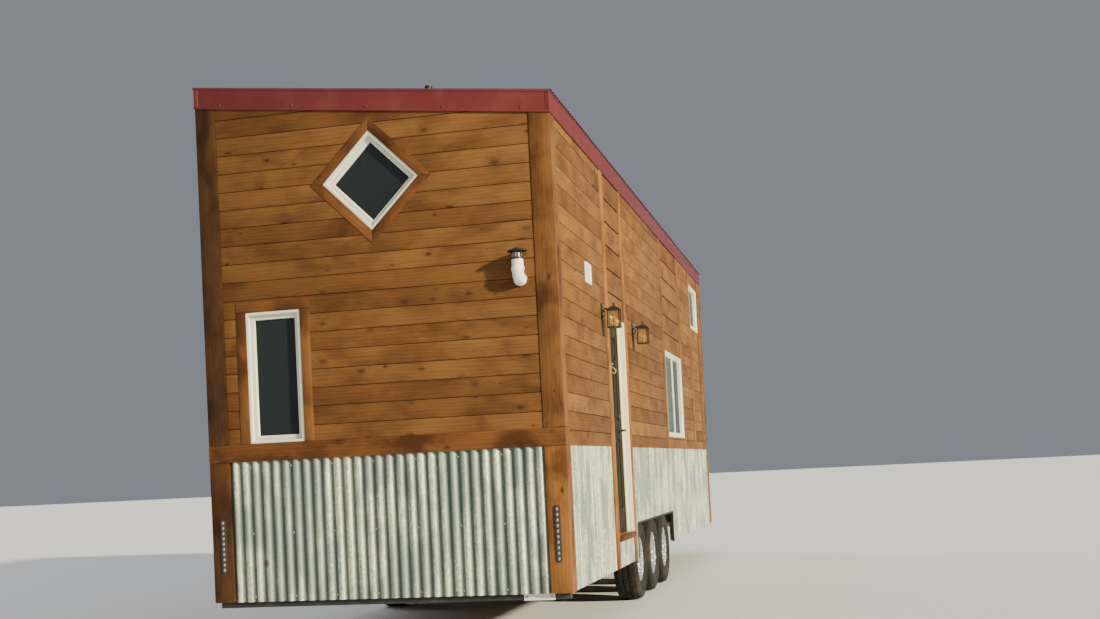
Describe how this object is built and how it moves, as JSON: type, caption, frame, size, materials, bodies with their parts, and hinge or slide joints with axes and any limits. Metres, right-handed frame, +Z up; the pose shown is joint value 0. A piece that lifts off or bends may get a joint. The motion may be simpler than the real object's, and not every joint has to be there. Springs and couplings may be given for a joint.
{
  "type": "tiny house on a three-axle trailer",
  "caption": "Wood-sided tiny house with a single-pitch roof and corrugated skirt, built on a three-axle trailer with a ball coupler; its entry door swings in and its wheels turn.",
  "frame": {"origin": "on the ground under the middle of the whole footprint", "axes": "+Z up, +Y towards the hitch, +X towards the door side; the rear wall faces -Y"},
  "size_m": [2.742, 11.278, 4.0992],
  "materials": {
    "frame_paint": "black chassis paint, satin",
    "galvanised": "galvanised with spangle",
    "black_plastic": "matt",
    "tyre_rubber": "moulded rubber",
    "wheel_silver": "silver wheel enamel",
    "deck_wood": "sawn plywood and lumber",
    "siding": "golden stained knotty boards",
    "trim_wood": "dark stained boards",
    "roof_metal": "painted ribbed steel",
    "fascia_metal": "red painted flashing",
    "white_paint": "white paint",
    "door_paint": "dark painted door",
    "black_metal": "black powder coat",
    "white_vinyl": "white vinyl",
    "window_glass": "clear window glass",
    "white_plastic": "white plastic",
    "lamp_chrome": "clear lamp strip"
  },
  "bodies": {
    "house": {"main_rails": "frame_paint", "crossmembers": "frame_paint", "tongue": "frame_paint", "coupler": "frame_paint", "tongue_jack": "galvanised", "rear_bumper": "frame_paint", "holding_tank": "black_plastic", "axles": "frame_paint", "leaf_springs": "frame_paint", "wheel_wells": "frame_paint", "floor": "deck_wood", "rim_boards": "deck_wood", "rear_wall": "siding", "left_wall": "siding", "front_wall": "siding", "right_wall_rear": "siding", "right_wall_over_door": "siding", "right_wall_front": "siding", "roof_deck": "deck_wood", "roof_sheet": "roof_metal", "fascia": "fascia_metal", "corner_boards": "trim_wood", "band_boards": "trim_wood", "corrugated_skirt": "galvanised", "door_frame": "white_paint", "door_surround": "trim_wood", "infill_panels": "siding", "window_casings": "trim_wood", "window_frames": "white_vinyl", "window_glass": "window_glass", "lanterns": "black_metal", "wall_vents": "white_plastic", "vent_caps": "black_plastic", "light_strips": "lamp_chrome"},
    "door": {"door_leaf": "door_paint", "door_handle": "black_metal"},
    "right_rear_wheel": {"tyre_right_rear": "tyre_rubber", "wheel_right_rear": "wheel_silver"},
    "right_mid_wheel": {"tyre_right_mid": "tyre_rubber", "wheel_right_mid": "wheel_silver"},
    "right_front_wheel": {"tyre_right_front": "tyre_rubber", "wheel_right_front": "wheel_silver"},
    "left_rear_wheel": {"tyre_left_rear": "tyre_rubber", "wheel_left_rear": "wheel_silver"},
    "left_mid_wheel": {"tyre_left_mid": "tyre_rubber", "wheel_left_mid": "wheel_silver"},
    "left_front_wheel": {"tyre_left_front": "tyre_rubber", "wheel_left_front": "wheel_silver"}
  },
  "joints": [
    {"name": "door_hinge", "type": "hinge", "parent": "house", "child": "door", "pos_m": [1.11, -3.471, 1.55], "axis": [0, 0, 1], "range_deg": [0, 95]},
    {"name": "right_rear_spin", "type": "hinge", "parent": "house", "child": "right_rear_wheel", "pos_m": [1.073, -2.019, 0.365], "axis": [1, 0, 0], "continuous": true},
    {"name": "right_mid_spin", "type": "hinge", "parent": "house", "child": "right_mid_wheel", "pos_m": [1.073, -1.181, 0.365], "axis": [1, 0, 0], "continuous": true},
    {"name": "right_front_spin", "type": "hinge", "parent": "house", "child": "right_front_wheel", "pos_m": [1.073, -0.343, 0.365], "axis": [1, 0, 0], "continuous": true},
    {"name": "left_rear_spin", "type": "hinge", "parent": "house", "child": "left_rear_wheel", "pos_m": [-1.201, -2.019, 0.365], "axis": [1, 0, 0], "continuous": true},
    {"name": "left_mid_spin", "type": "hinge", "parent": "house", "child": "left_mid_wheel", "pos_m": [-1.201, -1.181, 0.365], "axis": [1, 0, 0], "continuous": true},
    {"name": "left_front_spin", "type": "hinge", "parent": "house", "child": "left_front_wheel", "pos_m": [-1.201, -0.343, 0.365], "axis": [1, 0, 0], "continuous": true}
  ]
}
